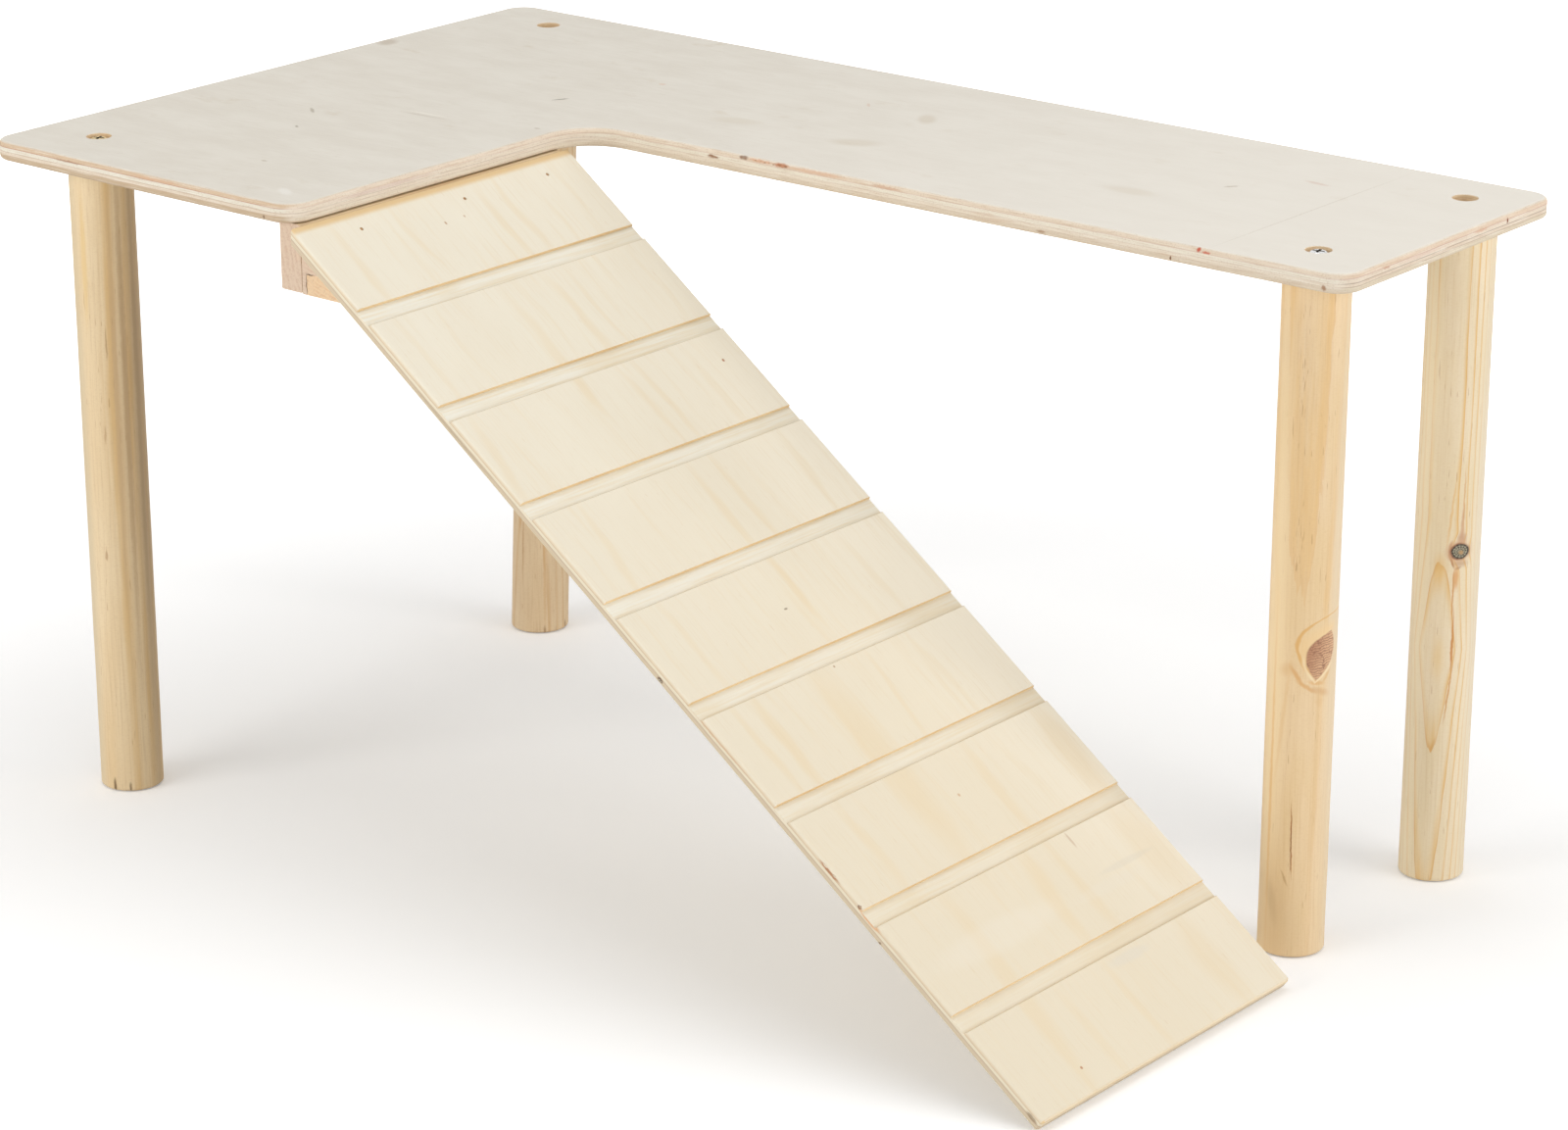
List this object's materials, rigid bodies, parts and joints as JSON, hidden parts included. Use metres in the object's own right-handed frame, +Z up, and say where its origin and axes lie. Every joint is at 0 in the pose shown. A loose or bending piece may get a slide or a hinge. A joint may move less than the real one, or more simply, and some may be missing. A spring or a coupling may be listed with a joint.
{
  "type": "pet ramp with platform",
  "caption": "Low L-shaped plywood platform on round wooden legs, with a grooved ramp that leads from the floor to the inner edge of the deck.",
  "frame": {"origin": "on the floor under the centre of the deck's bounding box", "axes": "+X along the long arm, from the short arm towards the ramp's foot; +Y from the ramp towards the straight back edge; +Z up"},
  "size_m": [0.613, 0.366, 0.32],
  "materials": {
    "deck_plywood": "sanded, unvarnished greyish pale veneer with laminated edges",
    "ramp_plywood": "sanded, unvarnished cream veneer with laminated edges",
    "pine": "turned, unvarnished knotty pine",
    "softwood": "sawn, unvarnished softwood",
    "screw_steel": "plated wood screw",
    "brad_steel": "bare steel pin"
  },
  "bodies": {
    "root": {"deck": "deck_plywood", "leg_front_left": "pine", "leg_front_right": "pine", "leg_back_left": "pine", "leg_back_right": "pine", "ramp_board": "ramp_plywood", "deck_batten": "softwood", "ramp_wedge": "softwood", "leg_screw_front_left": "screw_steel", "leg_screw_front_right": "screw_steel", "leg_screw_back_left": "screw_steel", "leg_screw_back_right": "screw_steel", "batten_screw_1": "screw_steel", "batten_screw_2": "screw_steel", "batten_screw_3": "screw_steel", "ramp_brad_1": "brad_steel", "ramp_brad_2": "brad_steel", "ramp_brad_3": "brad_steel"}
  },
  "joints": []
}
